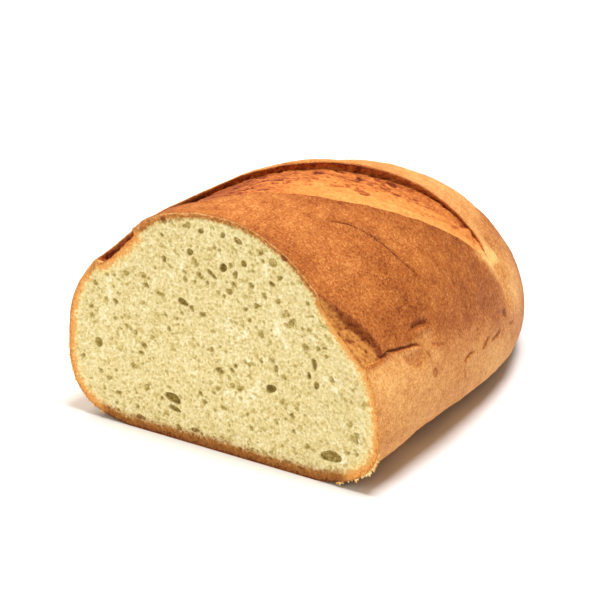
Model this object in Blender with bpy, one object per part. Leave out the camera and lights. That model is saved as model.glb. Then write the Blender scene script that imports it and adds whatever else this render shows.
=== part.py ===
"""Half of a white baton loaf: a domed loaf cut straight across, with two slashes opened in its crust.

Metres, +Z up. The cut faces -Y and the rounded end points to +Y. The origin is the middle of the
underside, at the centre of the loaf's box.
"""

import math

import bpy
import numpy as np
from mathutils import Matrix, Vector

MM = 0.001

# Overall size
WIDTH = 0.1178
HEIGHT = 0.079
LENGTH = 0.149

# Cross section: an upper dome and a flatter lower part, which meet at the widest height. How square
# the lower part is changes with the distance from the cut in mm.
WIDEST_HEIGHT = 0.024
DOME_ROUNDNESS = 1.95
BASE_SQUARENESS = ((0, 3.6), (8, 3.1), (30, 2.6), (50, 2.7), (75, 3.1), (100, 3.5), (150, 3.6))
FLAT_PRESSED = 0.0012

# How the loaf narrows and sinks from the cut to the rounded end
PLAN_FULLNESS = 2.9
PLAN_BLUNTNESS = 2.4
CREST_FULLNESS = 3.0
CREST_BLUNTNESS = 1.5
END_HEIGHT = 0.013
END_SIDESTEP = -0.003

# Slow unevenness of hand-shaped dough
LUMP_SIZE = 0.036
LUMP_HEIGHT = 0.0007
STILL_NEAR_FLOOR = 0.012

# Mesh before its flat parts are simplified
SPACING = 0.0007
RING_POINTS = 512
KEPT_SHARE = 0.034

# Points of the mesh nearer to a slash's lip than this share of the spacing are put on the lip
SNAP = 0.35

# The middle of the cut, where its rings of faces close
CUT_CENTRE = Vector((0.0, 0.0, 0.033))

# The crust's features lie on it as if it were unrolled: the first number of a place is the way
# round from the top, positive to the right, and the second is the distance from the cut.
# Both slashes head the same way. Their lips and depths are given in mm against the distance back
# from the closed end: the near lip is on the right and the far lip, with its ear, on the left.
# Each lip droops towards its edge. An overhang below nought leaves the far wall leaning back.
SLASH_HEADING = math.radians(46.4)
LONG_SLASH = {
    "end": (0.0512, 0.0930),
    "near_lip": ((0, -5.4), (4, -6.0), (10, -6.2), (18, -7.0), (28, -9.0), (45, -11.4), (64, -13.0),
                 (80, -12.0), (103, -8.6), (118, -5.0), (127, -1.6), (140, 2.6)),
    "far_lip": ((0, -4.8), (3, -2.8), (6, 0.2), (10, 4.6), (14, 8.0), (20, 11.6), (27, 14.2), (36, 15.6),
                (56, 17.0), (75, 18.0), (95, 17.8), (112, 16.0), (141, 13.3), (165, 10.0)),
    "near_depth": ((0, 0.4), (30, 0.9), (100, 1.2), (122, 2.4), (131, 3.8), (140, 4.2)),
    "far_depth": ((0, 0.5), (12, 0.9), (30, 1.2), (60, 1.3), (90, 1.6), (108, 2.6), (120, 3.2), (132, 3.0),
                  (138, 1.4), (143, 0.1)),
    "ear": ((0, 0.0), (20, 0.5), (50, 2.3), (62, 2.5), (75, 1.7), (95, 0.6), (125, 0.4), (165, 0.2)),
    "droop": ((0, 0.0), (40, 0.1), (50, 0.8), (60, 1.4), (70, 0.9), (85, 0.3), (100, 0.1), (140, 0.0)),
    "near_droop": ((0, 0.0), (116, 0.0), (128, 0.9), (140, 1.3)),
    "near_wall": 1.2,
    "far_wall": 2.2,
    "overhang": 1.3,
}
SHORT_SLASH = {
    "end": (0.0705, 0.0105),
    "near_lip": ((0, 0.0), (3, -2.6), (6, -4.6), (9, -7.0), (15, -11.0), (25, -14.0)),
    "far_lip": ((0, 0.1), (2, 2.2), (6, 5.0), (11, 7.6), (17, 9.6), (22, 11.6), (26, 13.2), (40, 16.0)),
    "near_depth": ((0, 0.4), (8, 0.7), (20, 0.9)),
    "far_depth": ((0, 1.4), (6, 2.5), (12, 2.9), (17, 2.5), (22, 2.0), (30, 1.4)),
    "ear": ((0, 0.0), (6, 0.3), (20, 0.3), (28, 0.0)),
    "droop": ((0, 0.0), (40, 0.0)),
    "near_droop": ((0, 0.0), (40, 0.0)),
    "near_wall": 1.2,
    "far_wall": 2.8,
    "overhang": -2.1,
}
SLASHES = (LONG_SLASH, SHORT_SLASH)

# How far from a far lip its raised ear fades and from a lip its droop, the width at which a closing
# slash is still fully deep, and how far from its lip the floor has come back to its own place
EAR_REACH = 0.008
LIP_ROUNDING = 0.0026
CLOSING_WIDTH = 0.004
WALL_RETURN = 0.005

# Broad hollows of the crust, and swellings with a depth below nought: their middle, then in mm
# their half width round the loaf, their half length along it and their depth
HOLLOWS = (
    ((0.0470, -0.0020), 24.0, 22.0, 4.2),
    ((-0.0330, 0.0000), 6.0, 8.0, 0.6),
    ((-0.0500, 0.0000), 9.0, 14.0, 1.7),
    ((-0.0740, 0.0000), 12.0, 22.0, -1.0),
    ((-0.1040, 0.0000), 8.0, 16.0, 1.2),
    ((0.1060, 0.0000), 8.0, 12.0, 0.9),
    ((0.0330, 0.1130), 26.0, 16.0, -1.3),
)

# Folds and cracks of the crust: their course, then in mm the depth and half width of the groove,
# and the height and reach of the step on its right or lower side
CREASES = (
    (((0.0225, 0.0257), (0.0281, 0.0326), (0.0362, 0.0367), (0.0475, 0.0394), (0.0550, 0.0430)),
     0.4, 0.8, 0.3, 6.0),
    (((0.0712, 0.0050), (0.0700, 0.0080), (0.0688, 0.0110), (0.0692, 0.0135), (0.0699, 0.0160),
      (0.0702, 0.0185), (0.0710, 0.0215), (0.0709, 0.0245), (0.0724, 0.0275), (0.0730, 0.0300)),
     0.8, 0.8, 0.6, 3.0),
    (((0.0668, 0.0258), (0.0665, 0.0290), (0.0666, 0.0325), (0.0678, 0.0362)), 1.1, 1.0, 1.5, 2.6),
    (((0.0490, 0.0900), (0.0560, 0.0935), (0.0640, 0.0950), (0.0720, 0.0930)), 1.3, 2.2, 0.0, 4.0),
    (((0.0440, 0.0950), (0.0520, 0.0990), (0.0600, 0.1010)), 0.7, 1.8, 0.5, 5.0),
)

# The largest holes in the cut: place across and up, half width and half height in mm, then the
# tilt in degrees and the depth in mm
PORES = (
    (40.9, 9.2, 3.7, 2.0, 8.0, 4.2),
    (-18.2, 13.9, 3.5, 1.6, -14.0, 2.2),
    (19.0, 26.4, 2.0, 1.6, 20.0, 2.4),
    (-13.6, 47.7, 2.1, 1.5, -10.0, 2.2),
    (1.7, 62.4, 1.7, 1.7, 0.0, 2.2),
    (34.7, 37.0, 1.5, 3.2, 8.0, 1.8),
)

CRUST_COLOUR = (0.52, 0.20, 0.06, 1.0)
CRUMB_COLOUR = (0.80, 0.69, 0.38, 1.0)


def clear_scene():
    for item in list(bpy.data.objects):
        bpy.data.objects.remove(item)


def signed_power(value, exponent):
    return np.sign(value) * np.abs(value) ** exponent


def smooth_step(value):
    value = np.clip(value, 0.0, 1.0)
    return value * value * (3.0 - 2.0 * value)


def smooth_table(position, table):
    """A smooth curve in metres through pairs given in mm."""
    pairs = np.array(table, float) * MM
    fine = np.linspace(pairs[0, 0], pairs[-1, 0], 400)
    value = np.interp(fine, pairs[:, 0], pairs[:, 1])
    for _ in range(60):
        value[1:-1] = 0.25 * (value[:-2] + 2.0 * value[1:-1] + value[2:])
    return np.interp(position, fine, value)


def taper(along, fullness, bluntness):
    """The share of the full size left at a share of the way from the cut to the rounded end."""
    return (1.0 - along**fullness) ** (1.0 / bluntness)


def loaf_surface(angle, along):
    """The smooth loaf: the angle is measured from the top, positive to the right."""
    narrowed = taper(along, PLAN_FULLNESS, PLAN_BLUNTNESS)
    sunk = taper(along, CREST_FULLNESS, CREST_BLUNTNESS)
    top = END_HEIGHT + (HEIGHT - END_HEIGHT) * sunk
    bottom = END_HEIGHT * (1.0 - sunk) ** 3
    upward = np.cos(angle)
    above = upward >= 0.0
    squareness = smooth_table(along * LENGTH, BASE_SQUARENESS) / MM
    exponent = np.where(above, 2.0 / DOME_ROUNDNESS, 2.0 / squareness)
    x = signed_power(np.sin(angle), exponent) * 0.5 * WIDTH * narrowed
    reach = np.where(above, HEIGHT - WIDEST_HEIGHT, WIDEST_HEIGHT)
    z = WIDEST_HEIGHT + reach * signed_power(upward, exponent)
    z = np.maximum(z - FLAT_PRESSED, 0.0)
    z = bottom + z / (HEIGHT - FLAT_PRESSED) * (top - bottom)
    return np.stack([x + END_SIDESTEP * along**2, along * LENGTH, z], axis=-1)


def even_angles(count):
    """Angles round the loaf that divide the outline of the cut into equal steps."""
    fine = np.linspace(-math.pi, math.pi, 4001)
    outline = loaf_surface(fine, np.zeros_like(fine))
    steps = np.linalg.norm(np.diff(outline, axis=0), axis=1)
    length = np.concatenate([[0.0], np.cumsum(steps)])
    return np.interp(np.arange(count) * length[-1] / count, length, fine)


def even_stations():
    """Shares of the way to the rounded end, in equal steps along the loaf's plan outline."""
    fine = np.sin(np.linspace(0.0, 0.5 * math.pi, 4001))
    plan = np.stack([0.5 * WIDTH * taper(fine, PLAN_FULLNESS, PLAN_BLUNTNESS), fine * LENGTH])
    steps = np.linalg.norm(np.diff(plan, axis=1), axis=0)
    length = np.concatenate([[0.0], np.cumsum(steps)])
    count = int(length[-1] / SPACING)
    return np.interp(np.arange(count) * length[-1] / count, length, fine)


def way_round(points):
    """The unrolled distance from the top of each ring, positive to the right."""
    steps = np.linalg.norm(np.diff(points, axis=1), axis=2)
    length = np.concatenate([np.zeros((len(points), 1)), np.cumsum(steps, axis=1)], axis=1)
    top = points.shape[1] // 2
    return length - length[:, top : top + 1]


def surface_frame(points):
    """Unit directions at a grid of points: outward, round the loaf and along it."""
    round_step = np.roll(points, -1, axis=1) - np.roll(points, 1, axis=1)
    along_step = np.gradient(points, axis=0)
    outward = np.cross(round_step, along_step)
    outward /= np.linalg.norm(outward, axis=2, keepdims=True)
    round_step /= np.linalg.norm(round_step, axis=2, keepdims=True)
    return outward, round_step, np.cross(outward, round_step)


def slash_places(way, distance, slash):
    """Distance back from a slash's closed end, and the distances inside its two lips."""
    run = (math.cos(SLASH_HEADING), math.sin(SLASH_HEADING))
    end = slash["end"]
    back = (end[0] - way) * run[0] + (end[1] - distance) * run[1]
    across = (end[0] - way) * run[1] - (end[1] - distance) * run[0]
    from_near = across - smooth_table(back, slash["near_lip"])
    from_far = smooth_table(back, slash["far_lip"]) - across
    return back, from_near, from_far


def fold_under(inside, wall, overhang):
    """Shift of the crust just inside a lip, which turns its slope into a wall under the lip."""
    down = smooth_step(inside / wall)
    away = 1.0 - smooth_step((inside - wall) / WALL_RETURN)
    return (wall + overhang) * down * away


def slash_relief(way, distance, slash):
    """Height along the normal and shift towards the far lip that open one slash."""
    back, from_near, from_far = slash_places(way, distance, slash)
    width = np.maximum(from_near + from_far, 1e-6)
    closing = smooth_step(width / CLOSING_WIDTH) * (back > 0.0)
    at_far = np.where(np.abs(from_far) < SNAP * SPACING, from_far, 0.0)
    at_near = np.where(np.abs(from_near) < SNAP * SPACING, from_near, 0.0)
    from_far = from_far - at_far
    from_near = from_near - at_near
    near_wall = slash["near_wall"] * MM
    far_wall = slash["far_wall"] * MM
    share = np.clip(from_near / width, 0.0, 1.0)
    near = smooth_table(back, slash["near_depth"])
    far = smooth_table(back, slash["far_depth"])
    depth = near + (far - near) * smooth_step(share)
    sunk = smooth_step(from_near / near_wall) * smooth_step(from_far / far_wall)
    beyond = np.maximum(-from_far, 0.0)
    ear = smooth_table(back, slash["ear"]) * smooth_step(1.0 - beyond / EAR_REACH)
    ear *= smooth_step(1.0 - from_far / far_wall)
    droop = smooth_table(back, slash["droop"]) * smooth_step(1.0 - from_far / far_wall)
    ear -= droop * smooth_step(1.0 - beyond / LIP_ROUNDING)
    near_droop = smooth_table(back, slash["near_droop"]) * smooth_step(1.0 - from_near / near_wall)
    ear -= near_droop * smooth_step(1.0 - np.maximum(-from_near, 0.0) / LIP_ROUNDING)
    shift = fold_under(from_far, far_wall, slash["overhang"] * MM) - fold_under(from_near, near_wall, 0.0)
    shift = shift * (from_near > 0.0) + at_far - at_near
    return closing * (ear - depth * sunk), closing * shift


def smooth_path(points, count=40):
    """Points on a curve that runs smoothly through the given ones."""
    given = np.array(points)
    knots = np.linspace(0.0, 1.0, len(given))
    share = np.linspace(0.0, 1.0, count)
    path = np.stack([np.interp(share, knots, given[:, k]) for k in range(2)], axis=1)
    for _ in range(6):
        path[1:-1] = 0.25 * (path[:-2] + 2.0 * path[1:-1] + path[2:])
    return path


def path_places(way, distance, path):
    """Distance from a path, the signed distance to its right, and the share of the way along."""
    nearest = np.full(way.shape, 1.0)
    side = np.zeros(way.shape)
    share_along = np.zeros(way.shape)
    for number in range(len(path) - 1):
        ahead = path[number + 1] - path[number]
        size = np.hypot(*ahead)
        from_x = way - path[number, 0]
        from_y = distance - path[number, 1]
        share = np.clip((from_x * ahead[0] + from_y * ahead[1]) / size**2, 0.0, 1.0)
        gap = np.hypot(from_x - share * ahead[0], from_y - share * ahead[1])
        closer = gap < nearest
        nearest = np.where(closer, gap, nearest)
        side = np.where(closer, (from_x * ahead[1] - from_y * ahead[0]) / size, side)
        share_along = np.where(closer, (number + share) / (len(path) - 1), share_along)
    return nearest, side, share_along


def crease_relief(way, distance, crease):
    """A groove along a line, and a step that fades away on its right or lower side."""
    points, depth, half_width, step, reach = crease
    nearest, side, along = path_places(way, distance, smooth_path(points))
    nearest = nearest / MM
    side = side / MM
    fade = smooth_step(along * 6.0) * smooth_step((1.0 - along) * 5.0)
    groove = -depth * np.exp(-((nearest / half_width) ** 2))
    raised = step * np.exp(-((nearest / reach) ** 2)) * smooth_step(side / half_width)
    return MM * (groove + raised) * fade


def hollow_relief(way, distance, hollow):
    """A smooth dip round a place on the crust."""
    middle, half_width, half_length, depth = hollow
    across = (way - middle[0]) / (half_width * MM)
    along = (distance - middle[1]) / (half_length * MM)
    return -depth * MM * np.exp(-(across**2) - along**2)


def lattice_value(cell, seed):
    """A repeatable number from 0 to 1 for each whole-numbered place."""
    mixed = cell[..., 0] * 374761393 + cell[..., 1] * 668265263 + cell[..., 2] * 2147483647
    mixed = mixed + seed * 974634777
    mixed = (mixed ^ (mixed >> 13)) * 1274126177
    return ((mixed ^ (mixed >> 16)) & 65535) / 65535.0


def soft_noise(points, size, seed):
    """Smooth noise from -1 to 1 that varies over about the given size."""
    scaled = points / size
    cell = np.floor(scaled).astype(np.int64)
    share = smooth_step(scaled - cell)
    total = np.zeros(points.shape[:-1])
    for corner in np.ndindex(2, 2, 2):
        weight = np.prod(np.where(np.array(corner) == 1, share, 1.0 - share), axis=-1)
        total += weight * lattice_value(cell + np.array(corner), seed)
    return 2.0 * total - 1.0


def crust_grid(angles, stations):
    """The crust as rings of points, from the cut to the rounded end."""
    round_angle, along = np.meshgrid(angles, stations)
    smooth = loaf_surface(round_angle, along)
    way = way_round(smooth)
    distance = smooth[..., 1]
    outward, round_way, along_way = surface_frame(smooth)
    to_far_lip = -math.sin(SLASH_HEADING) * round_way + math.cos(SLASH_HEADING) * along_way
    off_floor = smooth_step(smooth[..., 2] / STILL_NEAR_FLOOR)
    height = LUMP_HEIGHT * soft_noise(smooth, LUMP_SIZE, 3) * off_floor
    points = smooth.copy()
    for slash in SLASHES:
        rise, shift = slash_relief(way, distance, slash)
        height = height + rise
        points += shift[..., None] * to_far_lip
    for crease in CREASES:
        height = height + crease_relief(way, distance, crease)
    for hollow in HOLLOWS:
        height = height + hollow_relief(way, distance, hollow)
    points += height[..., None] * outward
    points[..., 2] = np.maximum(points[..., 2], 0.0)
    points[1:, :, 1] = np.maximum(points[1:, :, 1], 0.25 * SPACING)
    points[0, :, 1] = 0.0
    return points


def pore_depth(x, z, pore):
    """How far the wall of one hole lies behind the cut."""
    centre_x, centre_z, half_width, half_height, tilt, depth = pore
    turn = math.radians(tilt)
    across = x / MM - centre_x
    upward = z / MM - centre_z
    turned_across = across * math.cos(turn) + upward * math.sin(turn)
    turned_upward = upward * math.cos(turn) - across * math.sin(turn)
    away = (turned_across / half_width) ** 2 + (turned_upward / half_height) ** 2
    return depth * MM * np.sqrt(np.clip(1.0 - away, 0.0, 1.0))


def cut_grid(rim):
    """Rings of points over the cut, from its rim to its middle."""
    centre = np.array(CUT_CENTRE)
    reach = np.linalg.norm(rim - centre, axis=1).max()
    count = int(reach / SPACING)
    shares = 1.0 - np.arange(1, count) / count
    points = centre + shares[:, None, None] * (rim - centre)
    for pore in PORES:
        points[..., 1] += pore_depth(points[..., 0], points[..., 2], pore)
    return points


def ring_levels(points):
    """How often each ring halves its number of points, so that the faces stay even."""
    girth = np.linalg.norm(np.roll(points, -1, axis=1) - points, axis=2).sum(axis=1)
    levels = np.floor(np.log2(np.maximum(girth.max() / girth, 1.0)) + 0.3).astype(int)
    most = int(math.log2(RING_POINTS & -RING_POINTS))
    return np.clip(np.maximum.accumulate(levels), 0, most)


def bridge(faces, outer, inner):
    """Faces between two rings, where the inner one may have half as many points."""
    count = len(outer)
    if len(inner) == count:
        for i in range(count):
            j = (i + 1) % count
            faces.append((outer[i], outer[j], inner[j]))
            faces.append((outer[i], inner[j], inner[i]))
        return
    for i in range(len(inner)):
        left, middle, right = outer[2 * i], outer[2 * i + 1], outer[(2 * i + 2) % count]
        near, far = inner[i], inner[(i + 1) % len(inner)]
        faces.append((left, middle, near))
        faces.append((middle, far, near))
        faces.append((middle, right, far))


def add_rings(vertices, points):
    """Adds each ring's points at its own level, and returns their numbers."""
    rings = []
    for ring, level in zip(points, ring_levels(points)):
        kept = ring[:: 2**level]
        rings.append(list(range(len(vertices), len(vertices) + len(kept))))
        vertices.extend(map(tuple, kept))
    return rings


def close_rings(vertices, faces, rings, middle):
    """Bridges a run of rings and closes the last one with a point."""
    for outer, inner in zip(rings[:-1], rings[1:]):
        bridge(faces, outer, inner)
    last = rings[-1]
    vertices.append(tuple(middle))
    for i in range(len(last)):
        faces.append((last[i], last[(i + 1) % len(last)], len(vertices) - 1))


def loaf_mesh():
    """One closed mesh: the crust's rings to the rounded end, and the cut's rings to its middle."""
    crust = crust_grid(even_angles(RING_POINTS), even_stations())
    cut = cut_grid(crust[0])
    vertices = []
    faces = []
    cut_faces = []
    crust_rings = add_rings(vertices, crust)
    close_rings(vertices, faces, crust_rings, (END_SIDESTEP, LENGTH, END_HEIGHT))
    cut_rings = add_rings(vertices, cut)
    close_rings(vertices, cut_faces, [crust_rings[0], *cut_rings], CUT_CENTRE)
    slots = [0] * len(faces) + [1] * len(cut_faces)
    faces += [face[::-1] for face in cut_faces]
    mesh = bpy.data.meshes.new("loaf")
    mesh.from_pydata(vertices, [], faces)
    mesh.polygons.foreach_set("material_index", slots)
    return mesh


def centre_on_origin(mesh):
    """Moves the mesh so that the middle of its underside is at the origin."""
    places = np.array([vertex.co for vertex in mesh.vertices])
    low = places.min(axis=0)
    high = places.max(axis=0)
    middle = 0.5 * (low + high)
    mesh.transform(Matrix.Translation((-middle[0], -middle[1], -low[2])))


def finish_material(name, colour, roughness):
    material = bpy.data.materials.new(name)
    material.use_nodes = True
    shader = material.node_tree.nodes["Principled BSDF"]
    shader.inputs["Base Color"].default_value = colour
    shader.inputs["Roughness"].default_value = roughness
    shader.inputs["Metallic"].default_value = 0.0
    return material


def build_loaf():
    mesh = loaf_mesh()
    centre_on_origin(mesh)
    mesh.materials.append(finish_material("baked_crust", CRUST_COLOUR, 0.6))
    mesh.materials.append(finish_material("white_crumb", CRUMB_COLOUR, 0.9))
    loaf = bpy.data.objects.new("loaf", mesh)
    bpy.context.scene.collection.objects.link(loaf)
    simplify = loaf.modifiers.new("fewer flat faces", "DECIMATE")
    simplify.ratio = KEPT_SHARE
    simplify.use_collapse_triangulate = True


clear_scene()
build_loaf()
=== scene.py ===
"""Looks of half a white baton loaf: a browned wheat crust with two opened slashes, and the crumb at the cut.

Metres, +Z up. The cut faces -Y and the rounded end points to +Y. The crust, the cut face and the torn
flakes at its edge are closed pieces that stand for the one solid loaf.

A place on the crust has a way, the unrolled distance round the loaf from the top, positive to the right,
and a distance from the cut.
"""

import math

import bpy
import numpy as np
from mathutils import Matrix, Vector, geometry


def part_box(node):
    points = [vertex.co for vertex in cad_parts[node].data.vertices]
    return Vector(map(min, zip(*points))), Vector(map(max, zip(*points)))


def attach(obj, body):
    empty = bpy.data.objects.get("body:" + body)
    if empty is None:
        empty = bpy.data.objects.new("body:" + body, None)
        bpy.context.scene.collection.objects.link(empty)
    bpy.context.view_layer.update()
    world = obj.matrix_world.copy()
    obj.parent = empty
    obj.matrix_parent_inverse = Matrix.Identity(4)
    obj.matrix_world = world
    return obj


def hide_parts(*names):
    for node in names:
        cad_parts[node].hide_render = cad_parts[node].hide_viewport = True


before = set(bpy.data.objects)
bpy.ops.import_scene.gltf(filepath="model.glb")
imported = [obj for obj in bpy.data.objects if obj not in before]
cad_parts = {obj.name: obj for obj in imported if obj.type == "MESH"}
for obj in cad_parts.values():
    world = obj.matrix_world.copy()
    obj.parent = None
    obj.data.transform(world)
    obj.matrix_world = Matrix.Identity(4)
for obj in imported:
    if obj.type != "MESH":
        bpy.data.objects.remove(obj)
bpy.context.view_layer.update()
LOAF_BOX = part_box("loaf")

MM = 0.001
LEAST_WIDTH = 1e-6

# The loaf's form, as in the part's source
WIDTH = 0.1178
HEIGHT = 0.079
LENGTH = 0.149
WIDEST_HEIGHT = 0.024
DOME_ROUNDNESS = 1.95
BASE_SQUARENESS = ((0, 3.6), (8, 3.1), (30, 2.6), (50, 2.7), (75, 3.1), (100, 3.5), (150, 3.6))
FLAT_PRESSED = 0.0012
PLAN_FULLNESS = 2.9
PLAN_BLUNTNESS = 2.4
CREST_FULLNESS = 3.0
CREST_BLUNTNESS = 1.5
END_HEIGHT = 0.013
END_SIDESTEP = -0.003
LUMP_SIZE = 0.036
LUMP_HEIGHT = 0.0007
STILL_NEAR_FLOOR = 0.012
CUT_CENTRE = (0.0, 0.033)

# The slashes and their heading in degrees. The tables give mm by the distance in mm back from the closed
# end: where the lips run, how deep the floor lies by each, how far the far lip stands up as an ear, how far
# the lips droop and how far in from the far lip the wall's dark tone reaches. The tones are those of the
# wall, partly its own colour and partly painted shade of the crevice under the far lip, the floor and the
# near lip. A burst bubble has its way and distance, then its half length and half width, in mm.
SLASH_HEADING = 46.4
LONG_SLASH = {
    "end": (0.0512, 0.0930),
    "near_lip": ((0, -5.4), (4, -6.0), (10, -6.2), (18, -7.0), (28, -9.0), (45, -11.4), (64, -13.0),
                 (80, -12.0), (103, -8.6), (118, -5.0), (127, -1.6), (140, 2.6)),
    "far_lip": ((0, -4.8), (3, -2.8), (6, 0.2), (10, 4.6), (14, 8.0), (20, 11.6), (27, 14.2), (36, 15.6),
                (56, 17.0), (75, 18.0), (95, 17.8), (112, 16.0), (141, 13.3), (165, 10.0)),
    "near_depth": ((0, 0.4), (30, 0.9), (100, 1.2), (122, 2.4), (131, 3.8), (140, 4.2)),
    "far_depth": ((0, 0.5), (12, 0.9), (30, 1.2), (60, 1.3), (90, 1.6), (108, 2.6), (120, 3.2), (132, 3.0),
                  (138, 1.4), (143, 0.1)),
    "ear": ((0, 0.0), (20, 0.5), (50, 2.3), (62, 2.5), (75, 1.7), (95, 0.6), (125, 0.4), (165, 0.2)),
    "droop": ((0, 0.0), (40, 0.1), (50, 0.8), (60, 1.4), (70, 0.9), (85, 0.3), (100, 0.1), (140, 0.0)),
    "near_droop": ((0, 0.0), (116, 0.0), (128, 0.9), (140, 1.3)),
    "near_wall": 1.2,
    "far_wall": 2.2,
    "overhang": 1.3,
    "tones": (0.08, 0.36, 0.74),
    "wall_shade": ((0, -0.9), (25, -0.6), (45, 0.0), (60, 0.2), (165, 0.2)),
    "bubbles": 1.2,
    "burst": ((17.2, 55.7, 3.6, 2.3), (-4.9, 40.6, 2.2, 2.1), (-8.1, 27.6, 1.9, 1.7), (-2.7, 29.2, 2.7, 1.4),
              (-13.0, 43.8, 1.8, 1.8), (5.3, 54.2, 1.2, 1.4), (0.4, 56.8, 2.6, 1.6), (5.8, 63.6, 1.4, 1.0),
              (18.3, 74.4, 2.3, 1.6), (12.4, 55.2, 1.3, 1.2), (18.2, 68.2, 1.3, 1.3), (22.9, 69.7, 1.9, 1.4),
              (-12.6, 36.5, 1.7, 1.6), (0.4, 39.6, 1.2, 1.1), (4.5, 41.2, 2.4, 0.8), (33.6, 70.2, 1.4, 1.1),
              (-10.5, 32.0, 1.4, 1.2), (-16.0, 40.0, 1.5, 1.4), (-6.5, 48.5, 1.6, 1.3),
              (11.0, 66.0, 1.4, 1.2), (-14.5, 30.5, 1.6, 1.2), (-8.8, 38.6, 1.2, 1.1),
              (27.0, 76.0, 1.5, 1.2)),
}
SHORT_SLASH = {
    "end": (0.0705, 0.0105),
    "near_lip": ((0, 0.0), (3, -2.6), (6, -4.6), (9, -7.0), (15, -11.0), (25, -14.0)),
    "far_lip": ((0, 0.1), (2, 2.2), (6, 5.0), (11, 7.6), (17, 9.6), (22, 11.6), (26, 13.2), (40, 16.0)),
    "near_depth": ((0, 0.4), (8, 0.7), (20, 0.9)),
    "far_depth": ((0, 1.4), (6, 2.5), (12, 2.9), (17, 2.5), (22, 2.0), (30, 1.4)),
    "ear": ((0, 0.0), (6, 0.3), (20, 0.3), (28, 0.0)),
    "droop": ((0, 0.0), (40, 0.0)),
    "near_droop": ((0, 0.0), (40, 0.0)),
    "near_wall": 1.2,
    "far_wall": 2.8,
    "overhang": -2.1,
    "tones": (0.17, 0.46, 0.50),
    "wall_shade": ((0, 2.0), (12, 2.4), (18, 1.2), (22, 0.4), (40, 0.2)),
    "bubbles": 1.0,
    "burst": ((66.0, 5.6, 0.9, 0.5), (69.6, 7.6, 0.9, 0.5), (67.6, 3.2, 0.6, 0.4)),
}
BUBBLE_HEADING = 48.0
EAR_REACH = 0.008
LIP_ROUNDING = 0.0026
CLOSING_WIDTH = 0.004
WALL_RETURN = 0.005

# Torn lips: how far they stray from their smooth course, over what size, and the noise's seed
NEAR_TEAR = (0.35 * MM, 0.0022, 21)
FAR_TEAR = (0.18 * MM, 0.0030, 25)

# How far inside the lips, in mm, the torn floor begins. At the ear's pale rim it is wider, from a distance
# back from the closed end and over a reach.
NEAR_RIM = 0.4
FAR_RIM = 0.3
PALE_RIM_MORE = 0.8
PALE_RIM_FROM = (0.066, 0.016)

# How the floors' tones change: darker behind the cut, paler just at it and at the closed end. On the short
# slash's side, from a way and up to a distance, the floor is drier.
DARK_BEHIND_CUT = 0.24
PALE_AT_CUT = 0.26
PALE_AT_END = 0.22
DRY_FROM_WAY = 0.035
DRY_TO_DISTANCE = 0.030

# Noises added up: share or height, size and seed
GRAIN_LAYERS = ((LUMP_HEIGHT, LUMP_SIZE, 3), (0.18 * MM, 0.0070, 5), (0.10 * MM, 0.0028, 6),
                (0.06 * MM, 0.0013, 7))
WRINKLE_LAYERS = ((0.14 * MM, 0.0019, 8),)
CLOUD_LAYERS = ((0.08, 0.016, 41), (0.05, 0.006, 42))
CRUMB_LAYERS = ((0.16, 0.0019, 52), (0.08, 0.0009, 53))
TUFT_LAYERS = ((0.45, 0.0024, 54), (0.20, 0.0011, 55))
WRINKLE_STRETCH = 7.0

# Dips and swellings of the crust: middle, half sizes in mm round and along, and depth in mm
HOLLOWS = (
    ((0.0470, -0.0020), 24.0, 22.0, 4.2),
    ((-0.0330, 0.0000), 6.0, 8.0, 0.6),
    ((-0.0500, 0.0000), 9.0, 14.0, 1.7),
    ((-0.0740, 0.0000), 12.0, 22.0, -1.0),
    ((-0.1040, 0.0000), 8.0, 16.0, 1.2),
    ((0.1060, 0.0000), 8.0, 12.0, 0.9),
    ((0.0330, 0.1130), 26.0, 16.0, -1.3),
)

# Folds and cracks: course, then in mm groove depth, half width, step height and step reach
CREASES = (
    (((0.0225, 0.0257), (0.0281, 0.0326), (0.0362, 0.0367), (0.0475, 0.0394), (0.0550, 0.0430)),
     0.60, 0.5, 0.35, 6.0),
    (((0.0712, 0.0050), (0.0700, 0.0080), (0.0688, 0.0110), (0.0692, 0.0135), (0.0699, 0.0160),
      (0.0702, 0.0185), (0.0710, 0.0215), (0.0709, 0.0245), (0.0724, 0.0275), (0.0730, 0.0300)),
     0.55, 0.38, 0.6, 3.0),
    (((0.0668, 0.0258), (0.0665, 0.0290), (0.0666, 0.0325), (0.0678, 0.0362)), 1.1, 1.0, 1.5, 2.6),
    (((0.0716, 0.0262), (0.0738, 0.0292), (0.0760, 0.0298), (0.0784, 0.0318)), 0.30, 0.45, 0.25, 2.0),
    (((0.0490, 0.0900), (0.0560, 0.0935), (0.0640, 0.0950), (0.0720, 0.0930)), 1.3, 2.2, 0.0, 4.0),
    (((0.0440, 0.0950), (0.0520, 0.0990), (0.0600, 0.1010)), 0.7, 1.8, 0.5, 5.0),
    (((0.0748, 0.0300), (0.0772, 0.0312), (0.0810, 0.0318)), 0.25, 0.5, 0.25, 2.0),
    (((0.0738, 0.0335), (0.0747, 0.0360), (0.0761, 0.0427)), 0.25, 0.5, 0.15, 2.0),
    (((0.0852, 0.0520), (0.0838, 0.0545), (0.0830, 0.0575), (0.0832, 0.0612)), 0.40, 0.5, 0.25, 2.0),
    (((0.0910, 0.0530), (0.0873, 0.0526), (0.0850, 0.0536)), 0.25, 0.6, 0.2, 2.0),
    (((0.0838, 0.0658), (0.0818, 0.0687), (0.0793, 0.0728)), 0.40, 0.5, 0.2, 2.0),
    (((0.0816, 0.0741), (0.0800, 0.0785), (0.0780, 0.0828)), 0.40, 0.5, 0.2, 2.0),
    (((0.0762, 0.0920), (0.0752, 0.0940), (0.0740, 0.0976)), 0.30, 0.5, 0.2, 2.0),
)

# How much painted shade darkens each crease above along its groove
CREASE_DARKNESS = (0.32, 0.62, 0.15, 0.22, 0.0, 0.0, 0.22, 0.20, 0.38, 0.16, 0.35, 0.35, 0.25)

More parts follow.
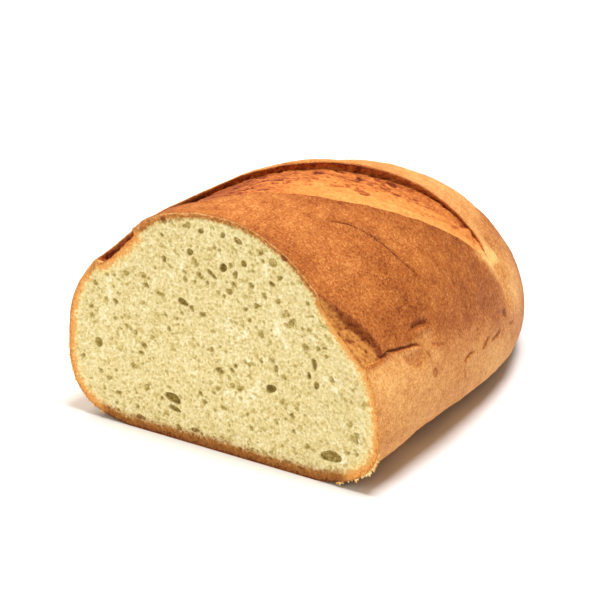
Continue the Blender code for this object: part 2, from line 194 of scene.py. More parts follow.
# Small scorched spots: place and radius, and how much darker they are
SPOTS = (((0.0829, 0.0328), 0.00165), ((0.0722, 0.0877), 0.00165), ((0.0927, 0.0713), 0.00070),
         ((0.0761, 0.0640), 0.00060))
SPOT_BROWNING = 0.30

# The patch below the crack where the skin has peeled off: its corners, its depth, how much of the grain it
# has lost and how much darker it is
PEELED_CORNERS = ((0.0725, 0.0167), (0.0733, 0.0281), (0.0777, 0.0289), (0.0791, 0.0245), (0.0769, 0.0198))
PEELED_DEPTH = 0.00035
PEELED_SMOOTHNESS = 0.6
PEELED_BROWNING = 0.17

# How dark the crust is beyond the even brown of its top, in patches: middle, half sizes in mm and change
BROWNING_AND_HIGHLIGHTS = (
    ((0.0522, 0.0905), 2.8, 8.0, -0.46),
    ((0.0640, 0.1030), 11.0, 13.0, -0.38),
    ((0.0500, 0.1080), 10.0, 10.0, -0.24),
    ((0.0545, 0.0890), 5.0, 6.0, -0.20),
    ((0.0790, 0.0080), 7.0, 9.0, -0.14),
    # Painted highlights: the lit ridge below the dent, and a faint sheen on the top near the cut
    ((0.0702, 0.0320), 2.4, 5.0, -0.16),
    ((0.0120, 0.0200), 24.0, 20.0, -0.05),
)

# The stretched skin that runs on from the long slash's closed end: its course, half width in mm and change
STRETCHED_FOLD = ((0.0518, 0.0908), (0.0546, 0.0893), (0.0578, 0.0905), (0.0610, 0.0912), (0.0640, 0.0916))
FOLD_WIDTH = 2.6
FOLD_CHANGE = -0.34

# How dark the crust is, from 0 for pale to 1 for scorched. The crust low down is this much darker towards
# the floor, its edge by the floor this much more as painted contact shade, and the strip beside the near lip
# this much darker than what it lies on. The ear's rim is this much paler, and the cut's own edge is this
# much darker at the sides than on top.
TOP_BROWNING = 0.68
SIDE_BROWNING = 0.35
FAR_BROWNING = 0.37
LOW_DARKENING = 0.20
CONTACT_SHADE = 0.34
UNDER_BROWNING = 0.66
PALE_EAR = 0.26
BROWNED_NEAR_LIP = 0.08
EDGE_BROWNING = 0.16
SIDE_EDGE_BROWNING = 0.20

# What is finer than in the solid: the spacing of the mesh, and how near a lip a point is moved onto it
CRUST_SPACING = 0.00052
CRUST_RING_POINTS = 608
UNDERSIDE_SHARE = 0.35
SNAP = 0.35
CRUMB_SPACING = 0.00031
CRUMB_JITTER = 0.18
HOLE_RINGS = (0.45, 0.72, 0.88, 0.97, 1.03)

# The crust's flat edge round the cut is this wide. Behind it, its socket and the crumb that fills it
# narrow with the distance from the cut: the distance, and the share of the outline that is left.
EDGE_WIDTH = 0.0003
CRUMB_GAP = 0.00005
SOCKET_STEPS = ((0.0, 1.0), (0.0017, 0.952), (0.0064, 0.895))
CRUMB_STEPS = ((0.0016, 0.946), (0.0060, 0.888))
CRUMB_SLOPE = 0.16

# Thickness in mm of the crust that shows at the cut, by the way, then where the cut crosses a slash and on
# the hidden back. The finish takes it in centimetres.
CRUST_WIDTHS = ((-0.165, 4.8), (-0.140, 4.2), (-0.122, 4.0), (-0.108, 3.8), (-0.070, 3.2), (-0.052, 2.6),
                (-0.034, 3.4), (-0.024, 3.0), (-0.010, 2.5), (0.020, 2.4), (0.045, 2.5), (0.060, 3.8),
                (0.095, 4.2), (0.108, 4.4), (0.125, 4.2), (0.145, 4.0), (0.165, 4.6))
NOTCH_WIDTH = 3.4
BACK_WIDTH = 2.0
WIDTH_UNIT = 0.1

# The largest holes in the cut: place across and up, half width and half height in mm, tilt in
# degrees and depth in mm
LARGE_HOLES = (
    (40.9, 9.2, 3.7, 2.0, 8.0, 4.2),
    (-18.2, 13.9, 3.5, 1.5, -14.0, 2.2),
    (-17.5, 10.4, 2.7, 0.9, -8.0, 1.6),
    (19.0, 26.4, 1.9, 1.5, 20.0, 2.4),
    (-13.6, 47.7, 2.0, 1.2, -10.0, 2.0),
    (1.7, 62.4, 1.4, 1.5, 0.0, 2.2),
    (-2.5, 59.5, 2.1, 0.8, -35.0, 1.4),
    (34.7, 38.3, 0.9, 2.2, 8.0, 1.8),
    (35.4, 31.5, 1.0, 1.5, -6.0, 1.4),
    (7.3, 72.4, 1.6, 1.1, -10.0, 1.5),
    (-10.6, 64.9, 1.3, 1.2, 0.0, 1.4),
    (-6.3, 72.7, 1.1, 0.9, 0.0, 1.2),
    (1.8, 73.1, 0.9, 1.0, 0.0, 1.4),
    (20.0, 68.1, 1.7, 1.4, -20.0, 0.9),
    (-47.0, 26.2, 1.5, 1.8, 20.0, 1.5),
    (9.4, 65.4, 1.2, 1.1, -20.0, 1.1),
    (32.9, 34.2, 0.9, 1.2, 0.0, 1.2),
    (-31.0, 4.0, 1.9, 0.9, -6.0, 1.3),
    (-9.5, 5.1, 1.8, 0.8, 0.0, 1.3),
    (19.6, 61.2, 1.3, 0.8, -15.0, 1.1),
)

# Holes where the crumb meets the thick crust underneath: place, half sizes, tilt and depth, in mm
# Painted shade makes these holes dark
UNDER_HOLES = (
    (-31.4, 3.6, 1.5, 0.7, -6.0, 0.9),
    (-22.0, 3.2, 0.7, 0.4, 0.0, 0.6),
    (-16.9, 2.9, 0.6, 0.4, 0.0, 0.6),
    (-9.5, 4.7, 1.5, 0.6, -4.0, 0.9),
    (-1.8, 3.4, 0.7, 0.4, 10.0, 0.5),
    (7.7, 3.0, 0.7, 0.5, 0.0, 0.6),
    (11.4, 3.7, 0.8, 0.5, -15.0, 0.6),
    (18.9, 2.9, 0.6, 0.4, 0.0, 0.5),
    (30.0, 2.4, 1.2, 0.6, -4.0, 0.7),
    (37.0, 2.8, 0.6, 0.4, 0.0, 0.5),
)
HOLE_SEED = 11
HOLE_TILT = (-14.0, 32.0)
HOLE_WOBBLE = (0.0009, 51)

# Bubbles strewn over the cut: how many, their size in mm (least, spread, and the power that favours small
# ones), the lowest place, the ranges of flatness and of depth by size, and the wobble and steepness
STREWN_HOLES = (
    (330, (0.42, 0.75, 1.7), 4.0, (0.68, 1.0), (0.8, 1.4), 0.30, 0.3),
    (420, (0.65, 0.55, 1.0), 3.0, (0.5, 0.95), (0.25, 0.6), 0.35, 0.0),
)

# Fine bubbles in the crust underneath, and the finest, one to each cell of a lattice in mm
CRUST_HOLES = 90
CRUST_HOLE_HEIGHTS = (1.2, 4.4)
HOLE_CELL = 1.2

# Pores in the crust's thickness along the top: how many, and their ranges of angle, inset and size in mm
TOP_PORES = 130
PORE_TURNS = (-0.62, 0.95)
PORE_INSETS = (0.6, 2.8)
PORE_SIZES = (0.24, 0.52)

# Flakes torn loose at the cut's edge: range of the way round, how many and their length in mm
FLAKES = ((0.0985, 0.1075, 16, 1.5), (0.1030, 0.1046, 2, 2.3), (0.1075, 0.1200, 14, 0.9),
          (0.1125, 0.1140, 1, 1.8), (0.1180, 0.1195, 1, 1.5), (-0.1180, -0.0900, 18, 0.9))
FLAKE_SEED = 5
FLAKE_THICKNESS = 0.35
FLAKE_ROOT = 0.9
FLAKE_ROOT_DEPTH = 0.35

# Colours, as sRGB hex values
CRUST_SHADES = ((0.0, "#FACE82"), (0.2, "#EAAF6A"), (0.4, "#D38F4E"), (0.6, "#B66A2F"), (0.8, "#934A1A"),
                (1.0, "#60280C"))
# Pale specks on the crust's tiny blisters: partly their own paleness, partly painted glints of light
SPECK_AND_GLINT = "#EBB070"
# The darkest stops of both floor ramps colour the wall under the far lip, partly painted shade of its
# crevice
FLOOR_SHADES = ((0.0, "#561F0E"), (0.12, "#7E3517"), (0.3, "#AC5A2A"), (0.5, "#D4813E"), (0.75, "#EA9A50"),
                (1.0, "#FAC27A"))
DRY_FLOOR_SHADES = ((0.0, "#5A2410"), (0.12, "#84401A"), (0.3, "#A3612C"), (0.5, "#C4833F"),
                    (0.75, "#DFA258"), (1.0, "#F2C47C"))
CRUMB_SHADES = ((0.0, "#7E6835"), (0.25, "#B29E5E"), (0.5, "#D7C589"), (0.75, "#EBDEAE"), (1.0, "#FDF7E0"))
TOP_EDGE_SHADES = ((0.0, "#F0BC7E"), (0.2, "#CC8648"), (0.5, "#B87238"), (0.75, "#CB9852"), (1.0, "#DAC284"))
UNDER_EDGE_SHADES = ((0.0, "#5A2E12"), (0.15, "#8A5226"), (0.5, "#A66C34"), (0.8, "#B27E42"),
                     (1.0, "#CEB276"))
SIDE_EDGE_SHADES = ((0.0, "#CC7A36"), (0.25, "#F2B062"), (0.5, "#DE9044"), (0.75, "#F2C476"),
                    (1.0, "#F4E2A2"))
# Painted shade inside the pores of the cut's crust band
PORE_SHADE = "#824924"
FLAKE_SHADES = ((0.35, "#DE9A4C"), (0.5, "#F3C67C"), (0.65, "#FFEFB8"))
PAPER_WHITE = "#EEEEF0"
ROOM_LIGHT = "#FFF3D0"
ROOM_STRENGTH = 0.38

# The lights: place, aim, size, power and colour
LIGHTS = {
    "key": ((0.25, -0.04, 1.34), (0.0, 0.0, 0.03), 0.50, 19.5, "#FDFDFF"),
    "left_fill": ((-0.60, 0.10, 0.95), (0.0, 0.0, 0.03), 0.60, 5.6, "#FFFDF6"),
    "front_fill": ((-0.14, -1.16, 0.66), (0.0, -0.05, 0.03), 0.80, 4.3, "#FFF8E4"),
}

# The photograph's camera: degrees to the right of the cut and upwards, what it points at and from how far,
# and its focal length in the photograph's pixels
CAMERA_TURN = 33.45
CAMERA_RISE = 22.63
CAMERA_TARGET = (-0.00087, 0.04677 - 0.5 * LENGTH, 0.035)
CAMERA_DISTANCE = 0.850
FOCAL_PIXELS = 2643.5
PHOTO_PIXELS = 600.0
FILM_WIDTH = 36.0


def signed_power(value, exponent):
    """A power that keeps the value's sign."""
    return np.sign(value) * np.abs(value) ** exponent


def smooth_step(value):
    """Rises smoothly from 0 to 1 with the value, and stays level beyond."""
    value = np.clip(value, 0.0, 1.0)
    return value * value * (3.0 - 2.0 * value)


def rising(value, start, reach):
    """0 up to the start, and smoothly up to 1 over the reach."""
    return smooth_step((value - start) / reach)


def falling(value, start, reach):
    """1 up to the start, and smoothly down to 0 over the reach."""
    return 1.0 - rising(value, start, reach)


def direction(degrees):
    """A unit step in a direction of the plane."""
    return math.cos(math.radians(degrees)), math.sin(math.radians(degrees))


def along_and_right(x, y, run):
    """How far a place lies along a direction, and how far to the right of it."""
    return x * run[0] + y * run[1], x * run[1] - y * run[0]


def smooth_table(position, table):
    """A smooth curve in metres through pairs given in mm."""
    pairs = np.array(table, float) * MM
    fine = np.linspace(pairs[0, 0], pairs[-1, 0], 400)
    value = np.interp(fine, pairs[:, 0], pairs[:, 1])
    for _ in range(60):
        value[1:-1] = 0.25 * (value[:-2] + 2.0 * value[1:-1] + value[2:])
    return np.interp(position, fine, value)


def taper(along, fullness, bluntness):
    """The share of the full size left at a share of the way from the cut to the rounded end."""
    return (1.0 - along**fullness) ** (1.0 / bluntness)


def loaf_surface(angle, along):
    """The smooth loaf: the angle is measured from the top, positive to the right."""
    narrowed = taper(along, PLAN_FULLNESS, PLAN_BLUNTNESS)
    sunk = taper(along, CREST_FULLNESS, CREST_BLUNTNESS)
    top = END_HEIGHT + (HEIGHT - END_HEIGHT) * sunk
    bottom = END_HEIGHT * (1.0 - sunk) ** 3
    upward = np.cos(angle)
    above = upward >= 0.0
    squareness = smooth_table(along * LENGTH, BASE_SQUARENESS) / MM
    exponent = np.where(above, 2.0 / DOME_ROUNDNESS, 2.0 / squareness)
    x = signed_power(np.sin(angle), exponent) * 0.5 * WIDTH * narrowed
    reach = np.where(above, HEIGHT - WIDEST_HEIGHT, WIDEST_HEIGHT)
    z = WIDEST_HEIGHT + reach * signed_power(upward, exponent)
    z = np.maximum(z - FLAT_PRESSED, 0.0)
    z = bottom + z / (HEIGHT - FLAT_PRESSED) * (top - bottom)
    return np.stack([x + END_SIDESTEP * along**2, along * LENGTH, z], axis=-1)


def even_angles(count):
    """Angles round the loaf that divide its outline evenly, more coarsely on the underside."""
    fine = np.linspace(-math.pi, math.pi, 6001)
    outline = loaf_surface(fine, np.zeros_like(fine))
    steps = np.linalg.norm(np.diff(outline, axis=0), axis=1)
    middle = 0.5 * (outline[1:] + outline[:-1])
    steps *= np.where(middle[:, 2] < 0.5 * MM, UNDERSIDE_SHARE, 1.0)
    length = np.concatenate([[0.0], np.cumsum(steps)])
    return np.interp(np.arange(count) * length[-1] / count, length, fine)


def even_stations():
    """Shares of the way to the rounded end, in equal steps along the loaf's plan outline."""
    fine = np.sin(np.linspace(0.0, 0.5 * math.pi, 4001))
    plan = np.stack([0.5 * WIDTH * taper(fine, PLAN_FULLNESS, PLAN_BLUNTNESS), fine * LENGTH])
    steps = np.linalg.norm(np.diff(plan, axis=1), axis=0)
    length = np.concatenate([[0.0], np.cumsum(steps)])
    count = int(length[-1] / CRUST_SPACING)
    return np.interp(np.arange(count) * length[-1] / count, length, fine)


def way_round(points, angles):
    """The unrolled distance from the top of each ring, positive to the right."""
    steps = np.linalg.norm(np.diff(points, axis=1), axis=2)
    length = np.concatenate([np.zeros((len(points), 1)), np.cumsum(steps, axis=1)], axis=1)
    top = np.array([np.interp(0.0, angles, ring) for ring in length])
    return length - top[:, None]


def surface_frame(points):
    """Unit directions at a grid of points: outward, round the loaf and along it."""
    round_step = np.roll(points, -1, axis=1) - np.roll(points, 1, axis=1)
    along_step = np.gradient(points, axis=0)
    outward = np.cross(round_step, along_step)
    outward /= np.linalg.norm(outward, axis=2, keepdims=True)
    round_step /= np.linalg.norm(round_step, axis=2, keepdims=True)
    return outward, round_step, np.cross(outward, round_step)


def lattice_value(cell, seed):
    """A repeatable number from 0 to 1 for each whole-numbered place."""
    mixed = cell[..., 0] * 374761393 + cell[..., 1] * 668265263 + cell[..., 2] * 2147483647
    mixed = mixed + seed * 974634777
    mixed = (mixed ^ (mixed >> 13)) * 1274126177
    return ((mixed ^ (mixed >> 16)) & 65535) / 65535.0


def soft_noise(points, size, seed):
    """Smooth noise from -1 to 1 that varies over about the given size."""
    scaled = points / size
    cell = np.floor(scaled).astype(np.int64)
    share = smooth_step(scaled - cell)
    total = np.zeros(points.shape[:-1])
    for corner in np.ndindex(2, 2, 2):
        weight = np.prod(np.where(np.array(corner) == 1, share, 1.0 - share), axis=-1)
        total += weight * lattice_value(cell + np.array(corner), seed)
    return 2.0 * total - 1.0


def layered_noise(points, layers):
    """Noises of several sizes added up, each with its share, size and seed."""
    return sum(share * soft_noise(points, size, seed) for share, size, seed in layers)


def unrolled(across, along):
    """Places on the unrolled crust, as the noises take them."""
    return np.stack([across, along, np.zeros_like(across)], axis=-1)


def ragged(way, distance, stray, size, seed):
    """How far a torn lip strays from its smooth course."""
    return stray * layered_noise(unrolled(way, distance), ((0.65, size, seed), (0.35, 0.4 * size, seed + 1)))


def slash_places(way, distance, slash):
    """Distance back from a slash's closed end, and the distances inside its two lips."""
    end = slash["end"]
    back, across = along_and_right(end[0] - way, end[1] - distance, direction(SLASH_HEADING))
    from_near = across - smooth_table(back, slash["near_lip"])
    from_far = smooth_table(back, slash["far_lip"]) - across
    torn_open = smooth_step((from_near + from_far) / CLOSING_WIDTH)
    from_near = from_near + ragged(way, distance, *NEAR_TEAR) * torn_open
    from_far = from_far + ragged(way, distance, *FAR_TEAR) * torn_open
    return back, from_near, from_far


def fold_under(inside, wall, overhang):
    """Shift of the crust just inside a lip, which turns its slope into a wall under the lip."""
    return (wall + overhang) * smooth_step(inside / wall) * falling(inside, wall, WALL_RETURN)


def slash_relief(way, distance, slash):
    """Height along the normal and shift towards the far lip that open one slash."""
    back, from_near, from_far = slash_places(way, distance, slash)
    width = np.maximum(from_near + from_far, LEAST_WIDTH)
    closing = smooth_step(width / CLOSING_WIDTH) * (back > 0.0)
    at_far = np.where(np.abs(from_far) < SNAP * CRUST_SPACING, from_far, 0.0)
    at_near = np.where(np.abs(from_near) < SNAP * CRUST_SPACING, from_near, 0.0)
    from_far = from_far - at_far
    from_near = from_near - at_near
    near_wall = slash["near_wall"] * MM
    far_wall = slash["far_wall"] * MM
    share = np.clip(from_near / width, 0.0, 1.0)
    near = smooth_table(back, slash["near_depth"])
    far = smooth_table(back, slash["far_depth"])
    depth = near + (far - near) * smooth_step(share)
    sunk = smooth_step(from_near / near_wall) * smooth_step(from_far / far_wall)
    beyond = np.maximum(-from_far, 0.0)
    ear = smooth_table(back, slash["ear"]) * smooth_step(1.0 - beyond / EAR_REACH)
    ear *= smooth_step(1.0 - from_far / far_wall)
    droop = smooth_table(back, slash["droop"]) * smooth_step(1.0 - from_far / far_wall)
    ear -= droop * smooth_step(1.0 - beyond / LIP_ROUNDING)
    near_droop = smooth_table(back, slash["near_droop"]) * smooth_step(1.0 - from_near / near_wall)
    ear -= near_droop * smooth_step(1.0 - np.maximum(-from_near, 0.0) / LIP_ROUNDING)
    shift = fold_under(from_far, far_wall, slash["overhang"] * MM) - fold_under(from_near, near_wall, 0.0)
    shift = shift * (from_near > 0.0) + at_far - at_near
    return closing * (ear - depth * sunk), closing * shift


def smooth_path(points, count=40):
    """Points on a curve that runs smoothly through the given ones."""
    given = np.array(points)
    knots = np.linspace(0.0, 1.0, len(given))
    share = np.linspace(0.0, 1.0, count)
    path = np.stack([np.interp(share, knots, given[:, k]) for k in range(2)], axis=1)
    for _ in range(6):
        path[1:-1] = 0.25 * (path[:-2] + 2.0 * path[1:-1] + path[2:])
    return path


def path_places(way, distance, path):
    """Distance from a path, the signed distance to its right, and the share of the way along."""
    nearest = np.full(way.shape, 1.0)
    side = np.zeros(way.shape)
    share_along = np.zeros(way.shape)
    for number in range(len(path) - 1):
        ahead = path[number + 1] - path[number]
        size = np.hypot(*ahead)
        from_x = way - path[number, 0]
        from_y = distance - path[number, 1]
        along, right = along_and_right(from_x, from_y, ahead)
        share = np.clip(along / size**2, 0.0, 1.0)
        gap = np.hypot(from_x - share * ahead[0], from_y - share * ahead[1])
        closer = gap < nearest
        nearest = np.where(closer, gap, nearest)
        side = np.where(closer, right / size, side)
        share_along = np.where(closer, (number + share) / (len(path) - 1), share_along)
    return nearest, side, share_along


def crease_relief(way, distance, crease):
    """A groove along a line, and a step that fades away on its right or lower side."""
    points, depth, half_width, step, reach = crease
    nearest, side, along = path_places(way, distance, smooth_path(points))
    nearest = nearest / MM
    side = side / MM
    fade = smooth_step(along * 6.0) * smooth_step((1.0 - along) * 5.0)
    groove = np.exp(-((nearest / half_width) ** 2)) * fade
    raised = step * np.exp(-((nearest / reach) ** 2)) * smooth_step(side / half_width)
    return MM * (raised * fade - depth * groove), groove


def round_patch(way, distance, middle, half_width, half_length):
    """1 in the middle of a soft-edged patch with half sizes in mm, and 0 well beyond it."""
    across = (way - middle[0]) / (half_width * MM)
    along = (distance - middle[1]) / (half_length * MM)
    return np.exp(-(across**2) - along**2)


def peeled_share(way, distance):
    """Where the skin below the crack has come off, between five corners."""
    inside = np.full(way.shape, 1.0)
    for start, end in zip(PEELED_CORNERS, PEELED_CORNERS[1:] + PEELED_CORNERS[:1]):
        ahead = (end[0] - start[0], end[1] - start[1])
        right = along_and_right(way - start[0], distance - start[1], ahead)[1]
        inside = np.minimum(inside, right / math.hypot(*ahead))
    return smooth_step(inside / (1.2 * MM) + 0.3)


def crust_grain(smooth, way, distance, off_floor):
    """The crust's own unevenness: lumps of the dough, low blisters and fine upright wrinkles."""
    wrinkles = layered_noise(unrolled(way / WRINKLE_STRETCH, distance), WRINKLE_LAYERS)
    low_side = rising(np.abs(way), 0.078, 0.014)
    return (layered_noise(smooth, GRAIN_LAYERS) + wrinkles * low_side) * off_floor


def slash_floor(way, distance, slash):
    """A slash's torn floor and tone: dark under the far lip, partly painted shade, pale by the near lip."""
    back, from_near, from_far = slash_places(way, distance, slash)
    opened = smooth_step((from_near + from_far) / CLOSING_WIDTH) * (back > 0.0)
    far_rim = (FAR_RIM + PALE_RIM_MORE * rising(back, *PALE_RIM_FROM)) * MM
    floor = smooth_step(from_near / (NEAR_RIM * MM)) * smooth_step(from_far / far_rim) * opened
    share = np.clip(from_near / np.maximum(from_near + from_far, LEAST_WIDTH), 0.0, 1.0)
    wall, middle, lip = slash["tones"]
    off_wall = rising(from_far, smooth_table(back, slash["wall_shade"]), 0.9 * MM)
    tone = wall + (middle - wall) * off_wall
    lit = rising(distance, 0.015, 0.030)
    tone += (lip - middle) * off_wall * smooth_step((0.82 - share) / 0.78) * (0.35 + 0.65 * lit)
    tone -= DARK_BEHIND_CUT * off_wall * falling(distance, 0.022, 0.034) * (way < DRY_FROM_WAY)
    tone += PALE_AT_CUT * off_wall * falling(distance, 0.0, 2.2 * MM) * (way < 0.0)
    tone += PALE_AT_END * falling(back, 0.0, 9.0 * MM) * (distance > 0.05)
    return floor, tone, off_wall, share


def floor_relief(way, distance, slash, floor, off_wall, share):
    """A slash's torn floor: lines drawn out along it and burst bubbles, as height and as tone."""
    size = slash["bubbles"] * MM
    along, across = along_and_right(way, distance, direction(SLASH_HEADING))
    drawn = unrolled(along / 2.2, across)
    torn = 0.20 * soft_noise(drawn, 0.0017, 31) + 0.14 * soft_noise(drawn * 2.3, 0.0017, 32)
    slanted = unrolled(along / 1.8 + 0.3 * across, across - 0.2 * along)
    swell = layered_noise(slanted, ((0.90, size, 33), (0.28, 0.5 * size, 34)))
    pitted = smooth_step((swell - 0.30) * 4.0) * (off_wall * rising(share, 0.10, 0.35))
    burst, brim = burst_bubbles(way, distance, slash["burst"])
    height = MM * floor * (torn - 0.30 * pitted - 0.25 * burst + 0.12 * brim)
    # The near brims of burst bubbles are paler as a painted highlight; their insides are darker in their own
    # colour
    return height, 0.40 * torn * off_wall - 0.18 * pitted - 0.26 * burst + 0.10 * brim


def burst_bubbles(way, distance, bubbles):
    """How far a place lies inside a burst bubble, and how close below its brim, from 0 to 1."""
    run = direction(BUBBLE_HEADING)
    inside = np.zeros(way.shape)
    brim = np.zeros(way.shape)
    for place_way, place_distance, half_length, half_width in bubbles:
        along, across = along_and_right(way / MM - place_way, distance / MM - place_distance, run)
        across = across / half_width
        away = np.hypot(along / half_length, across)
        inside = np.maximum(inside, smooth_step((1.0 - away) / 0.45))
        # Only the brim on the near side, which the floor's tone lightens as a painted highlight
        brim = np.maximum(brim, np.exp(-(((away - 1.15) / 0.2) ** 2)) * smooth_step(across))
    return inside, brim


def crust_grid(angles, stations):
    """The crust as rings of points from the cut to the rounded end, with what its finish needs."""
    round_angle, along = np.meshgrid(angles, stations)
    smooth = loaf_surface(round_angle, along)
    way = way_round(smooth, angles)
    distance = smooth[..., 1]
    outward, round_way, along_way = surface_frame(smooth)
    run = direction(SLASH_HEADING)
    to_far_lip = run[0] * along_way - run[1] * round_way
    off_floor = smooth_step(smooth[..., 2] / STILL_NEAR_FLOOR)
    peeled = peeled_share(way, distance)
    height = crust_grain(smooth, way, distance, off_floor) * (1.0 - PEELED_SMOOTHNESS * peeled)
    height = height - PEELED_DEPTH * peeled
    points = smooth.copy()
    marks = {name: np.zeros(way.shape) for name in ("torn", "tone", "crack")}
    for slash in (LONG_SLASH, SHORT_SLASH):
        rise, shift = slash_relief(way, distance, slash)
        floor, tone, off_wall, share = slash_floor(way, distance, slash)
        rough, stain = floor_relief(way, distance, slash, floor, off_wall, share)
        height = height + rise + rough
        points += shift[..., None] * to_far_lip
        marks["torn"] = np.maximum(marks["torn"], floor)
        marks["tone"] = np.where(floor > 0.0, tone + stain, marks["tone"])
    for crease, darkness in zip(CREASES, CREASE_DARKNESS):
        rise, groove = crease_relief(way, distance, crease)
        height = height + rise
        # Painted shade along each crease's groove
        marks["crack"] = np.maximum(marks["crack"], groove * darkness)
    for *patch, depth in HOLLOWS:
        height = height - depth * MM * round_patch(way, distance, *patch)
    points += height[..., None] * outward
    points[..., 2] = np.maximum(points[..., 2], 0.0)
    points[1:, :, 1] = np.maximum(points[1:, :, 1], 0.25 * CRUST_SPACING)
    points[0, :, 1] = 0.0
    marks["browning_and_painted_light"] = crust_browning_and_painted_light(way, distance, smooth)
    marks["dry"] = rising(way, DRY_FROM_WAY, 0.004) * smooth_step((DRY_TO_DISTANCE - distance) / 0.006)
    return points, marks, way


def crust_browning_and_painted_light(way, distance, smooth):
    """How dark the crust is: brown on top, golden low on the sides, on the ear and at the tip."""
    # Besides the bake, this holds painted highlights and painted contact shade by the floor
    by_crack = (way > 0.0) * falling(distance, 0.024, 0.026)
    side = smooth_step((np.abs(way) - 0.066 - 0.003 * by_crack) / (0.022 - 0.018 * by_crack))
    baked = TOP_BROWNING + (SIDE_BROWNING - TOP_BROWNING) * side
    back, from_near, from_far = slash_places(way, distance, LONG_SLASH)
    beyond_far = smooth_step(-from_far / (2.0 * MM)) * rising(back, -0.004, 0.012)
    far = FAR_BROWNING + 0.05 * smooth_step((0.034 - way) / 0.030) - 0.15 * rising(way, 0.034, 0.016)
    baked -= PALE_EAR * np.exp(-((from_far / MM) ** 2)) * rising(back, *PALE_RIM_FROM)
    baked += (far - baked) * beyond_far * smooth_step((0.072 - way) / 0.02)
    beside = np.exp(-((np.minimum(from_near, 0.0) / 0.006) ** 2)) * (from_near <= 0.0)
    baked += BROWNED_NEAR_LIP * beside * smooth_step(back / 0.02)
    for *patch, change in BROWNING_AND_HIGHLIGHTS:
        baked += change * round_patch(way, distance, *patch)
    off_fold, _, along_fold = path_places(way, distance, smooth_path(STRETCHED_FOLD))
    fold_width = FOLD_WIDTH * (1.3 - 0.5 * along_fold) * MM
    baked += FOLD_CHANGE * (1.0 - 0.6 * along_fold) * np.exp(-((off_fold / fold_width) ** 2))
    baked += layered_noise(smooth, CLOUD_LAYERS)
    baked += PEELED_BROWNING * peeled_share(way, distance)
    for place, radius in SPOTS:
        gap = np.hypot(way - place[0], distance - place[1])
        baked += SPOT_BROWNING * smooth_step((radius - gap) / (0.7 * MM) + 0.5)
    height = smooth[..., 2]
    # Darker towards the floor, and darker still along the edge by the floor as painted contact shade
    baked += LOW_DARKENING * falling(height, 0.0, 9.0 * MM)
    baked += CONTACT_SHADE * falling(height, 3.0 * MM, 4.0 * MM)
    underside = falling(height, 0.3 * MM, 2.0 * MM)
    inner = smooth_step((36.0 * MM - np.abs(smooth[..., 0])) / (8.0 * MM))
    baked += (UNDER_BROWNING - baked) * underside * inner
    return np.clip(baked, 0.0, 1.0)


def ring_levels(points):
    """How often each ring halves its number of points, so that the faces stay even."""
    girth = np.linalg.norm(np.roll(points, -1, axis=1) - points, axis=2).sum(axis=1)
    levels = np.floor(np.log2(np.maximum(girth.max() / girth, 1.0)) + 0.3).astype(int)
    most = int(math.log2(points.shape[1] & -points.shape[1]))
    return np.clip(np.maximum.accumulate(levels), 0, most)


def bridge(faces, outer, inner):
    """Faces between two rings, where the inner one may have half as many points."""
    count = len(outer)
    if len(inner) == count:
        for i in range(count):
            j = (i + 1) % count
            faces.append((outer[i], outer[j], inner[j]))
            faces.append((outer[i], inner[j], inner[i]))
        return
    for i in range(len(inner)):
        left, middle, right = outer[2 * i], outer[2 * i + 1], outer[(2 * i + 2) % count]
        near, far = inner[i], inner[(i + 1) % len(inner)]
        faces.append((left, middle, near))
        faces.append((middle, far, near))
        faces.append((middle, right, far))


def cap(faces, ring, middle):
    """Closes a ring of points with triangles to its middle."""
    for i in range(len(ring)):
        faces.append((ring[i], ring[(i + 1) % len(ring)], middle))


def shrunk_rim(rim, inset):
    """The outline of the cut, moved inwards by a width."""
    flat = rim[:, (0, 2)]
    step = np.roll(flat, -1, axis=0) - np.roll(flat, 1, axis=0)
    inward = np.stack([-step[:, 1], step[:, 0]], axis=1)
    inward /= np.linalg.norm(inward, axis=1, keepdims=True)
    towards = np.array(CUT_CENTRE) - flat
    inward *= np.sign((inward * towards).sum(axis=1, keepdims=True))
    return flat + inset * inward


def narrowed(outline, share):
    """An outline of the cut drawn in towards its middle."""
    return np.array(CUT_CENTRE) + share * (outline - np.array(CUT_CENTRE))


def new_piece(name, vertices, faces, marks, material):
    """A smooth-shaded mesh piece with its marks stored at its points."""
    mesh = bpy.data.meshes.new(name)
    mesh.from_pydata(vertices, [], faces)
    for mark, values in marks.items():
        layer = mesh.attributes.new(mark, "FLOAT", "POINT")
        layer.data.foreach_set("value", np.asarray(values, np.float32))
    mesh.polygons.foreach_set("use_smooth", [True] * len(mesh.polygons))
    mesh.materials.append(material)
    piece = bpy.data.objects.new(name, mesh)
    bpy.context.scene.collection.objects.link(piece)
    return piece


